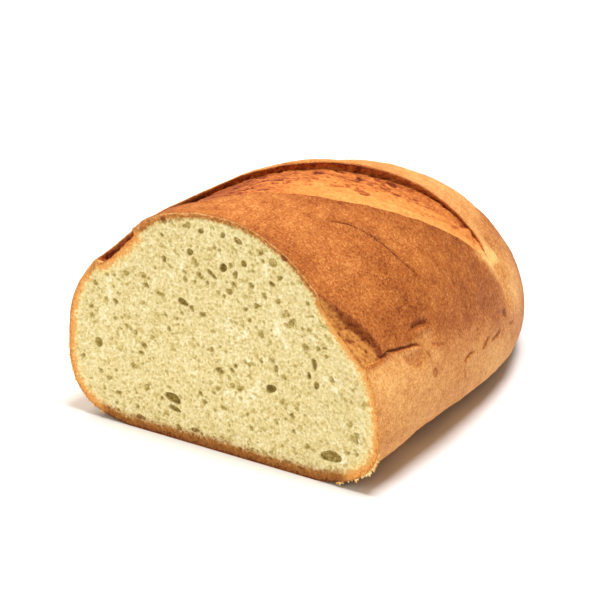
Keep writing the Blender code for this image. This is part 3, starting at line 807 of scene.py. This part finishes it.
def crust_piece(material):
    """The crust: a closed shell of rings, with a shallow socket behind the cut for the crumb."""
    points, marks, way = crust_grid(even_angles(CRUST_RING_POINTS), even_stations())
    vertices = []
    kept = {name: [] for name in marks}
    rings = []
    for number, (ring, level) in enumerate(zip(points, ring_levels(points))):
        chosen = slice(None, None, 2**level)
        rings.append(list(range(len(vertices), len(vertices) + len(ring[chosen]))))
        vertices.extend(map(tuple, ring[chosen]))
        for name in marks:
            kept[name].extend(marks[name][number, chosen])
    faces = []
    for outer, inner in zip(rings[:-1], rings[1:]):
        bridge(faces, outer, inner)
    vertices.append((END_SIDESTEP, LENGTH, END_HEIGHT))
    cap(faces, rings[-1], len(vertices) - 1)
    edge = shrunk_rim(points[0], EDGE_WIDTH)
    previous = rings[0]
    inner_faces = []
    for depth, share in SOCKET_STEPS:
        ring = list(range(len(vertices), len(vertices) + len(edge)))
        vertices.extend((x, depth, z) for x, z in narrowed(edge, share))
        bridge(inner_faces, previous, ring)
        previous = ring
    vertices.append((CUT_CENTRE[0], SOCKET_STEPS[-1][0], CUT_CENTRE[1]))
    cap(inner_faces, previous, len(vertices) - 1)
    faces += [face[::-1] for face in inner_faces]
    for name in marks:
        missing = len(vertices) - len(kept[name])
        fill = edge_browning(way[0]) if name == "browning_and_painted_light" else np.zeros(len(edge))
        kept[name].extend(np.resize(fill, missing))
    return new_piece("crust", vertices, faces, kept, material), points[0], way[0]


def edge_browning(way):
    """How dark the crust's own edge is at the cut: golden on top, orange on the sides, dark underneath."""
    return np.maximum(EDGE_BROWNING + SIDE_EDGE_BROWNING * side_share(way), under_share(way))


def side_share(way):
    """Where the cut's edge belongs to the golden sides, from just below the slashes down."""
    return rising(way, 0.040, 0.012) + rising(-way, 0.056, 0.010)


def under_share(way):
    """Where the cut's edge belongs to the underside."""
    return rising(np.abs(way), 0.112, 0.008)


def random_hole(rng, across, upward, size, flatness, depth, stray, wall):
    """One bubble at a place: place, half width, half height, tilt, depth, wobble and share of steep wall."""
    tilt = rng.normal(*HOLE_TILT)
    return across, upward, size / flatness**0.5, size * flatness**0.5, tilt, depth, stray, wall


def crust_pores(rng):
    """Small pores in the baked band along the top of the cut, darkened there by painted shade."""
    pores = []
    centre = CUT_CENTRE[1] / MM
    for _ in range(TOP_PORES):
        turn = np.array(rng.uniform(*PORE_TURNS))
        x, _, z = loaf_surface(turn, np.zeros(1)[0]) / MM
        inset = 1.0 - rng.uniform(*PORE_INSETS) / math.hypot(x, z - centre)
        place = (x * inset, centre + (z - centre) * inset)
        size = rng.uniform(*PORE_SIZES)
        pores.append((*place, size, 0.7 * size, -math.degrees(turn) * 0.6, 1.2 * size, 0.3, 0.5))
    return pores


def scattered_holes(rng):
    """Bubbles opened by the cut, in mm: the large placed ones, then those that keep clear of them."""
    placed = [(*hole, 0.0, 0.4) for hole in LARGE_HOLES]
    holes = [(*hole, 0.3, 0.3) for hole in UNDER_HOLES] + crust_pores(rng)
    half_width = 0.5 * WIDTH / MM
    height = HEIGHT / MM
    for count, (least, spread, power), lowest, flatness, depths, stray, wall in STREWN_HOLES:
        for _ in range(count):
            size = least + spread * rng.random() ** power
            place = (rng.uniform(-half_width, half_width), rng.uniform(lowest, height))
            form = (size, rng.uniform(*flatness), size * rng.uniform(*depths))
            holes.append(random_hole(rng, *place, *form, stray, wall))
    for _ in range(CRUST_HOLES):
        size = 0.25 + 0.35 * rng.random() ** 2
        place = (rng.uniform(-half_width + 10.0, half_width - 12.0), rng.uniform(*CRUST_HOLE_HEIGHTS))
        holes.append(random_hole(rng, *place, size, 0.6, 0.9 * size + 0.1, 0.3, 0.2))
    for row in range(int(height / HOLE_CELL) + 1):
        for column in range(int(2.0 * half_width / HOLE_CELL) + 1):
            place = ((column + rng.random()) * HOLE_CELL - half_width, (row + rng.random()) * HOLE_CELL)
            size = 0.20 + 0.26 * rng.random() ** 1.6
            form = (size, rng.uniform(0.6, 1.0), size * rng.uniform(0.4, 1.0))
            holes.append(random_hole(rng, *place, *form, 0.4, 0.2))
    return placed + [hole for hole in holes if not near_large_hole(hole)]


def near_large_hole(hole):
    """Whether a small hole would break the rim of a large one."""
    for centre_x, centre_z, half_width, half_height, tilt, _ in LARGE_HOLES:
        along, right = along_and_right(hole[0] - centre_x, hole[1] - centre_z, direction(tilt))
        if math.hypot(along / (half_width + hole[2]), right / (half_height + hole[3])) < 1.1:
            return True
    return False


def lopsided(theta, half_width, tilt):
    """How far a hole's uneven rim reaches in a direction, compared with an even one."""
    return 1.0 + 0.08 * np.sin(2.0 * theta + tilt) + 0.05 * np.sin(3.0 * theta + half_width)


def hole_reach(theta, half_width, half_height, tilt):
    """Points on a large hole's smooth, slightly lopsided rim."""
    run = direction(tilt)
    reach = lopsided(theta, half_width, tilt)
    across = half_width * np.cos(theta) * reach
    upward = half_height * np.sin(theta) * reach
    return across * run[0] - upward * run[1], across * run[1] + upward * run[0]


def hole_depths(x, z, holes, wobble):
    """How far behind the cut the crumb lies at each place, in mm."""
    depths = np.zeros(len(x))
    order = np.argsort(x)
    sorted_x = x[order]
    for centre_x, centre_z, half_width, half_height, tilt, depth, stray, wall in holes:
        reach = 1.35 * max(half_width, half_height)
        first, last = np.searchsorted(sorted_x, (centre_x - reach, centre_x + reach))
        near = order[first:last]
        near = near[np.abs(z[near] - centre_z) < reach]
        if not len(near):
            continue
        along, right = along_and_right(x[near] - centre_x, z[near] - centre_z, direction(tilt))
        across = along / half_width
        upward = -right / half_height
        rim = lopsided(np.arctan2(upward, across), half_width, tilt)
        away = np.hypot(across, upward) / rim + stray * wobble[near]
        bowl = np.clip(1.0 - away**2, 0.0, 1.0) ** (0.5 if wall > 0.0 else 1.5)
        dip = depth * (wall * (away < 1.0) + (1.0 - wall) * bowl)
        depths[near] = np.maximum(depths[near], dip)
    return depths


def rim_distances(points, rim):
    """Distance from the outline of the cut for each point, and the number of the nearest rim point."""
    distance = np.empty(len(points))
    nearest = np.empty(len(points), int)
    for start in range(0, len(points), 2000):
        some = points[start : start + 2000]
        gaps = np.linalg.norm(some[:, None, :] - rim[None, :, :], axis=2)
        nearest[start : start + 2000] = gaps.argmin(axis=1)
        distance[start : start + 2000] = gaps.min(axis=1)
    return distance, nearest


def crumb_points(edge, rng):
    """Points spread evenly over the cut inside its edge, with rings round and in each large hole."""
    low = edge.min(axis=0)
    high = edge.max(axis=0)
    across = np.arange(low[0], high[0], CRUMB_SPACING)
    upward = np.arange(low[1], high[1], CRUMB_SPACING)
    grid = np.stack(np.meshgrid(across, upward), axis=-1)
    grid[::2, :, 0] += 0.5 * CRUMB_SPACING
    stray = rng.uniform(-CRUMB_JITTER, CRUMB_JITTER, (grid.shape[0] * grid.shape[1], 2))
    grid = grid.reshape(-1, 2) + stray * CRUMB_SPACING
    centre = np.array(CUT_CENTRE)
    edge_turn = np.arctan2(*(edge - centre).T)
    edge_reach = np.linalg.norm(edge - centre, axis=1)
    order = np.argsort(edge_turn)
    turn = np.arctan2(*(grid - centre).T)
    limit = np.interp(turn, edge_turn[order], edge_reach[order], period=2.0 * math.pi)
    grid = grid[np.linalg.norm(grid - centre, axis=1) < limit - 0.6 * CRUMB_SPACING]
    rings = []
    for centre_x, centre_z, half_width, half_height, tilt, _ in LARGE_HOLES:
        count = int(5.0 * (half_width + half_height) * MM / CRUMB_SPACING)
        theta = np.arange(count) * 2.0 * math.pi / count
        for share in HOLE_RINGS:
            x, z = hole_reach(theta, half_width * share, half_height * share, tilt)
            rings.append(np.stack([centre_x + x, centre_z + z], axis=1) * MM)
    rings = np.concatenate(rings)
    for start in range(0, len(rings), 200):
        some = rings[start : start + 200]
        above = (grid > some.min(axis=0) - CRUMB_SPACING).all(axis=1)
        below = (grid < some.max(axis=0) + CRUMB_SPACING).all(axis=1)
        inside = np.nonzero(above & below)[0]
        gaps = np.linalg.norm(grid[inside, None, :] - some[None, :, :], axis=2).min(axis=1)
        grid = np.delete(grid, inside[gaps < 0.5 * CRUMB_SPACING], axis=0)
    return np.concatenate([grid, rings])


def crumb_piece(rim, rim_way, material):
    """The cut face: crumb with its opened bubbles, and the crust's thickness round it."""
    rng = np.random.default_rng(HOLE_SEED)
    edge = shrunk_rim(rim, EDGE_WIDTH - CRUMB_GAP)
    count = len(edge)
    flat = np.concatenate([edge, crumb_points(edge, rng)])
    links = [(i, (i + 1) % count) for i in range(count)]
    places = [Vector(place) for place in flat]
    made, _, triangles, origin, _, _ = geometry.delaunay_2d_cdt(places, links, [], 1, 1e-7)
    flat = np.array(made)
    ring = [0] * count
    for number, source in enumerate(origin):
        for given in source:
            if given < count:
                ring[given] = number
    distance, nearest = rim_distances(flat, rim[:, (0, 2)])
    way = rim_way[nearest]
    solid = np.stack([flat[:, 0], np.zeros(len(flat)), flat[:, 1]], axis=-1)
    from_rim = distance / MM
    wobble = soft_noise(solid, *HOLE_WOBBLE)
    hollow = hole_depths(flat[:, 0] / MM, flat[:, 1] / MM, scattered_holes(rng), wobble)
    depth = hollow + crumb_relief(flat, solid)
    depth = np.minimum(np.maximum(depth, 0.0), CRUMB_SLOPE * np.maximum(from_rim - EDGE_WIDTH / MM, 0.0))
    depth[ring] = 0.0
    marks = crumb_marks(solid, from_rim, way, rim_way, hollow)
    return close_crumb(flat, triangles, ring, depth * MM, marks, material)


def crumb_relief(flat, solid):
    """The torn surface between the bubbles: soft lumps, and rougher tufts low on the right."""
    tufted = rising(flat[:, 0], 0.014, 0.020) * smooth_step((0.052 - flat[:, 1]) / 0.018)
    slanted = solid.copy()
    slanted[:, 0] = 1.5 * solid[:, 0] + 0.6 * solid[:, 2]
    relief = layered_noise(solid, CRUMB_LAYERS) + tufted * layered_noise(slanted, TUFT_LAYERS)
    return 0.10 + 0.30 * tufted + relief


def crumb_marks(solid, from_rim, way, rim_way, hollow):
    """What the crumb's finish needs at each point, each about 0 to 1."""
    slashed = np.interp(way, rim_way, smoothed_round(notch_share(rim_way)))
    side = side_share(way) * (1.0 - under_share(way))
    width = np.interp(way, *zip(*CRUST_WIDTHS))
    return {
        "from_rim": from_rim * WIDTH_UNIT,
        "band": (width * (1.0 - slashed) + NOTCH_WIDTH * slashed) * WIDTH_UNIT,
        # Painted shade: the deeper a hollow, the darker its colour
        "hollow": 1.0 - np.exp(-hollow / 0.75),
        "lump": smooth_step((soft_noise(solid, 0.0035, 56) - 0.60) * 4.0),
        "under": under_share(way),
        "golden": np.maximum(side, slashed),
    }


def close_crumb(flat, triangles, ring, depth, marks, material):
    """Gives the cut face its sides and back, so that it is one closed piece."""
    vertices = [(x, y, z) for (x, z), y in zip(flat, depth)]
    faces = [tuple(t) for t in triangles]
    if signed_area(flat[list(faces[0])]) < 0.0:
        faces = [face[::-1] for face in faces]
    outline = flat[ring]
    sides = []
    previous = ring
    for distance, share in CRUMB_STEPS:
        back = list(range(len(vertices), len(vertices) + len(ring)))
        vertices.extend((x, distance, z) for x, z in narrowed(outline, share))
        bridge(sides, previous, back)
        previous = back
    vertices.append((CUT_CENTRE[0], CRUMB_STEPS[-1][0], CUT_CENTRE[1]))
    cap(sides, previous, len(vertices) - 1)
    turned = signed_area(outline) > 0.0
    faces += [face[::-1] if turned else face for face in sides]
    extra = np.zeros(len(vertices) - len(flat))
    marks = {name: np.concatenate([values, extra]) for name, values in marks.items()}
    marks["band"][len(flat):] = BACK_WIDTH * WIDTH_UNIT
    return new_piece("cut_face", vertices, faces, marks, material)


def signed_area(outline):
    """The area inside an outline, negative where it runs clockwise."""
    ahead = np.roll(outline, -1, axis=0)
    return 0.5 * (outline[:, 0] * ahead[:, 1] - ahead[:, 0] * outline[:, 1]).sum()


def smoothed_round(values):
    """The values at the rim's points, each averaged with its neighbours."""
    for _ in range(24):
        values = 0.25 * (np.roll(values, 1) + 2.0 * values + np.roll(values, -1))
    return values


def notch_share(way):
    """Where the cut crosses a slash's floor, and shows fresh crust without a browned band."""
    share = np.zeros_like(way)
    for slash in (LONG_SLASH, SHORT_SLASH):
        share = np.maximum(share, slash_floor(way, np.zeros_like(way), slash)[0])
    return share * np.where(way > 0.0, rising(way, 0.045, 0.008), 1.0)


def flakes_piece(rim, rim_way, material):
    """Thin flakes and shreds that the knife tore loose at the edge of the cut."""
    rng = np.random.default_rng(FLAKE_SEED)
    vertices = []
    faces = []
    order = np.argsort(rim_way)

    def rim_place(way):
        """The rim's place across and up at a way round."""
        return np.array([np.interp(way, rim_way[order], rim[order, k]) for k in (0, 2)])

    for start, end, count, longest in FLAKES:
        for way in rng.uniform(start, end, count):
            root = rim_place(way)
            ahead = rim_place(way + MM) - root
            ahead /= np.hypot(*ahead)
            outward = np.array([-ahead[1], ahead[0]])
            outward *= np.sign(outward @ (root - np.array(CUT_CENTRE)))
            add_flake(vertices, faces, rng, root, ahead, outward, longest * rng.uniform(0.45, 1.0))
    return new_piece("torn_flakes", vertices, faces, {}, material)


def add_flake(vertices, faces, rng, root, ahead, outward, length):
    """One flake: a thin bent wedge rooted a little inside the edge, with an uneven tip."""
    lean = rng.uniform(-0.7, 0.7)
    across = ahead - lean * outward * 0.3
    reach = outward + lean * ahead
    half = rng.uniform(0.45, 0.80) * length
    depth = rng.uniform(-0.15, 0.05)
    outline = ((-half, -FLAKE_ROOT, FLAKE_ROOT_DEPTH), (half, -FLAKE_ROOT, FLAKE_ROOT_DEPTH),
               (0.7 * half, 0.15 * length, depth), (0.1 * half, 0.9 * length, depth - 0.30 * length),
               (-0.6 * half, 0.20 * length, depth))
    first = len(vertices)
    for back in (0.0, FLAKE_THICKNESS):
        for side, out, behind in outline:
            place = root + MM * (side * across + out * reach)
            vertices.append((place[0], MM * (behind + back), max(place[1], 0.1 * MM)))
    count = len(outline)
    turned = ahead[0] * outward[1] - ahead[1] * outward[0] < 0.0
    front = tuple(range(first, first + count))
    new_faces = [front, tuple(number + count for number in reversed(front))]
    for i in range(count):
        j = (i + 1) % count
        new_faces.append((first + i, first + count + i, first + count + j, first + j))
    faces.extend(face[::-1] if turned else face for face in new_faces)


def linear(colour):
    """A linear RGBA colour from an sRGB hex value."""
    parts = [int(colour[i : i + 2], 16) / 255.0 for i in (1, 3, 5)]
    return [p / 12.92 if p <= 0.04045 else ((p + 0.055) / 1.055) ** 2.4 for p in parts] + [1.0]


def add_node(tree, kind, sockets=None, stops=None, **settings):
    """Adds a node: sockets name inputs and hold values or other nodes' outputs, stops are a ramp's."""
    node = tree.nodes.new(kind)
    for name, value in settings.items():
        setattr(node, name, value)
    if stops:
        while len(node.color_ramp.elements) < len(stops):
            node.color_ramp.elements.new(1.0)
        for element, (place, colour) in zip(node.color_ramp.elements, stops):
            element.position = place
            element.color = linear(colour)
    for name, value in (sockets or {}).items():
        if isinstance(value, bpy.types.NodeSocket):
            tree.links.new(value, node.inputs[name])
        else:
            node.inputs[name].default_value = value
    return node


def new_material(name, roughness, specular=0.2):
    """A material of a given roughness, its node tree and its surface shader."""
    material = bpy.data.materials.new(name)
    material.use_nodes = True
    tree = material.node_tree
    shader = tree.nodes["Principled BSDF"]
    shader.inputs["Roughness"].default_value = roughness
    shader.inputs["Specular IOR Level"].default_value = specular
    return material, tree, shader


def stored_marks(tree, names):
    """The values stored at the piece's points, by name."""
    kind = "ShaderNodeAttribute"
    return {name: add_node(tree, kind, attribute_name=name).outputs["Fac"] for name in names}


def noise(tree, place, size, detail, roughness=0.6):
    """The value of a noise whose features are about the given size in metres."""
    sockets = {"Vector": place, "Scale": 1.0 / size, "Detail": detail, "Roughness": roughness}
    return add_node(tree, "ShaderNodeTexNoise", sockets).outputs["Fac"]


def math_node(tree, operation, *values):
    """The result of a sum on values or other nodes' outputs."""
    return add_node(tree, "ShaderNodeMath", dict(enumerate(values)), operation=operation).outputs[0]


def add_bump(tree, shader, height, distance, strength):
    """Fine relief of a real height in metres, as light catches it."""
    bump = add_node(tree, "ShaderNodeBump", {"Height": height, "Distance": distance, "Strength": strength})
    tree.links.new(bump.outputs[0], shader.inputs["Normal"])


def sum_of(tree, start, *terms):
    """Start plus each value times its factor, where a noise of 0.5 on average adds nothing."""
    total = start
    for value, factor, middle in terms:
        total = math_node(tree, "MULTIPLY_ADD", math_node(tree, "ADD", value, -middle), factor, total)
    return total


def blend(tree, share, first, second):
    """A colour between two colours."""
    sockets = {0: share, 6: first, 7: second}
    return add_node(tree, "ShaderNodeMix", sockets, data_type="RGBA").outputs[2]


def ramp(tree, value, stops):
    """A colour by a value, between the given stops."""
    return add_node(tree, "ShaderNodeValToRGB", {"Fac": value}, stops=stops).outputs[0]


def baked_crust():
    """Wheat crust, baked dry: matt with a faint satin, browned unevenly and sprinkled with tiny blisters."""
    material, tree, shader = new_material("baked_wheat_crust", 0.60)
    place = add_node(tree, "ShaderNodeTexCoord").outputs["Object"]
    marks = stored_marks(tree, ("browning_and_painted_light", "torn", "tone", "crack", "dry"))
    cloud = noise(tree, place, 0.0035, 4.0, 0.65)
    grain = noise(tree, place, 0.00080, 3.0, 0.7)
    blisters = noise(tree, place, 0.00075, 1.0)
    # The creases' grooves are darkened by painted shade
    terms = ((cloud, 0.50, 0.5), (grain, 0.95, 0.5), (marks["crack"], 1.0, 0.0))
    crust = ramp(tree, sum_of(tree, marks["browning_and_painted_light"], *terms), CRUST_SHADES)
    # Pale specks, partly painted glints of light on the tiny blisters
    lit = add_node(tree, "ShaderNodeMapRange", {0: blisters, 1: 0.64, 2: 0.80, 3: 0.0, 4: 0.6}).outputs[0]
    specked_and_glinting = blend(tree, lit, crust, linear(SPECK_AND_GLINT))
    shreds = noise(tree, place, 0.0011, 4.0, 0.75)
    moist_floor = ramp(tree, sum_of(tree, marks["tone"], (shreds, 0.95, 0.5)), FLOOR_SHADES)
    dry_floor = ramp(tree, sum_of(tree, marks["tone"], (shreds, 1.20, 0.5)), DRY_FLOOR_SHADES)
    floor = blend(tree, marks["dry"], moist_floor, dry_floor)
    tree.links.new(blend(tree, marks["torn"], specked_and_glinting, floor), shader.inputs["Base Color"])
    relief = sum_of(tree, grain, (blisters, 0.6, 0.5), (shreds, 0.6, 0.5))
    add_bump(tree, shader, relief, 0.00040, 0.7)
    shader.inputs["IOR"].default_value = 1.45
    return material


def white_crumb():
    """White wheat crumb, set and springy: soft, slightly see-through, riddled with fine bubbles."""
    material, tree, shader = new_material("white_wheat_crumb", 0.9)
    place = add_node(tree, "ShaderNodeTexCoord").outputs["Object"]
    marks = stored_marks(tree, ("from_rim", "band", "hollow", "lump", "under", "golden"))
    cells = noise(tree, place, 0.0009, 3.0, 0.75)
    broad = noise(tree, place, 0.005, 3.0)
    # Hollows darkened as painted shade
    terms = ((cells, 1.35, 0.5), (broad, 0.22, 0.5), (marks["hollow"], -0.55, 0.0),
             (marks["lump"], 0.16, 0.0))
    crumb = ramp(tree, sum_of(tree, 0.67, *terms), CRUMB_SHADES)
    ragged_rim = sum_of(tree, marks["from_rim"], (cells, 0.20, 0.5))
    share = math_node(tree, "DIVIDE", ragged_rim, marks["band"])
    band = edge_band(tree, share, cells, marks)
    fade = sum_of(tree, 1.25, (marks["golden"], 0.10, 0.0))
    start = sum_of(tree, 0.65, (marks["golden"], -0.35, 0.0))
    into = add_node(tree, "ShaderNodeMapRange", {0: share, 1: start, 2: fade, 3: 0.0, 4: 1.0}).outputs[0]
    tree.links.new(blend(tree, into, band, crumb), shader.inputs["Base Color"])
    add_bump(tree, shader, cells, 0.0005, 0.6)
    shader.inputs["Subsurface Weight"].default_value = 0.15
    shader.inputs["Subsurface Radius"].default_value = (1.0, 0.8, 0.45)
    shader.inputs["Subsurface Scale"].default_value = 0.0008
    return material


def edge_band(tree, share, cells, marks):
    """The crust's thickness at the cut: brown and pored on top, darker underneath, golden at the sides."""
    stained = sum_of(tree, share, (cells, 1.35, 0.5))
    browned = ramp(tree, stained, TOP_EDGE_SHADES)
    browned = blend(tree, marks["under"], browned, ramp(tree, stained, UNDER_EDGE_SHADES))
    # Pores in the band darkened by painted shade
    pores = math_node(tree, "MULTIPLY", marks["hollow"], 1.4)
    browned = blend(tree, pores, browned, linear(PORE_SHADE))
    golden = ramp(tree, sum_of(tree, share, (cells, 2.0, 0.5)), SIDE_EDGE_SHADES)
    return blend(tree, marks["golden"], browned, golden)


def torn_crumb():
    """Shreds of crumb and thin crust: pale yellow with golden specks, dry and matt."""
    material, tree, shader = new_material("torn_crumb_flakes", 0.85)
    place = add_node(tree, "ShaderNodeTexCoord").outputs["Object"]
    shade = ramp(tree, noise(tree, place, 0.0012, 2.0), FLAKE_SHADES)
    tree.links.new(shade, shader.inputs["Base Color"])
    return material


def studio_floor():
    """A plain white floor, matt as paper."""
    material, _, shader = new_material("white_paper_floor", 0.9, 0.0)
    shader.inputs["Base Color"].default_value = linear(PAPER_WHITE)
    bpy.ops.mesh.primitive_plane_add(size=6.0, location=(0.0, 0.0, -0.05 * MM))
    floor = bpy.context.object
    floor.name = "floor"
    floor.data.materials.append(material)


def soft_light(name, place, aim, size, power, colour):
    """A square soft light that points at a place."""
    lamp = bpy.data.lights.new(name, "AREA")
    lamp.size = size
    lamp.energy = power
    lamp.color = linear(colour)[:3]
    holder = bpy.data.objects.new(name, lamp)
    holder.location = place
    holder.rotation_euler = (Vector(aim) - Vector(place)).to_track_quat("-Z", "Y").to_euler()
    bpy.context.scene.collection.objects.link(holder)


def studio():
    """Warm white surroundings, a soft key light overhead, two fills and the photograph's camera."""
    scene = bpy.context.scene
    world = bpy.data.worlds.new("white_room")
    world.use_nodes = True
    room = world.node_tree.nodes["Background"]
    room.inputs["Color"].default_value = linear(ROOM_LIGHT)
    room.inputs["Strength"].default_value = ROOM_STRENGTH
    scene.world = world
    for name, settings in LIGHTS.items():
        soft_light(name, *settings)
    turn = math.radians(CAMERA_TURN)
    rise = math.radians(CAMERA_RISE)
    back = Vector((math.sin(turn) * math.cos(rise), -math.cos(turn) * math.cos(rise), math.sin(rise)))
    right = Vector((math.cos(turn), math.sin(turn), 0.0))
    placed = Matrix((right, back.cross(right), back)).transposed().to_4x4()
    placed.translation = Vector(CAMERA_TARGET) + back * CAMERA_DISTANCE
    lens = bpy.data.cameras.new("camera")
    lens.sensor_width = FILM_WIDTH
    lens.lens = FILM_WIDTH * FOCAL_PIXELS / PHOTO_PIXELS
    camera = bpy.data.objects.new("camera", lens)
    camera.matrix_world = placed
    scene.collection.objects.link(camera)
    scene.camera = camera
    scene.view_settings.view_transform = "Standard"


def build_loaf():
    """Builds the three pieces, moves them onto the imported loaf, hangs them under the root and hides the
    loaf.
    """
    crust, rim, rim_way = crust_piece(baked_crust())
    cut_face = crumb_piece(rim, rim_way, white_crumb())
    flakes = flakes_piece(rim, rim_way, torn_crumb())
    places = np.array([vertex.co for vertex in crust.data.vertices])
    middle = 0.5 * (places[:, 0].min() + places[:, 0].max())
    wanted = 0.5 * (LOAF_BOX[0][0] + LOAF_BOX[1][0])
    shift = Vector((wanted - middle, LOAF_BOX[0][1], 0.0))
    for piece in (crust, cut_face, flakes):
        piece.data.transform(Matrix.Translation(shift))
        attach(piece, "root")
        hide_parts("loaf")


def write_sizes():
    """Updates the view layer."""
    bpy.context.view_layer.update()


build_loaf()
studio_floor()
studio()
write_sizes()
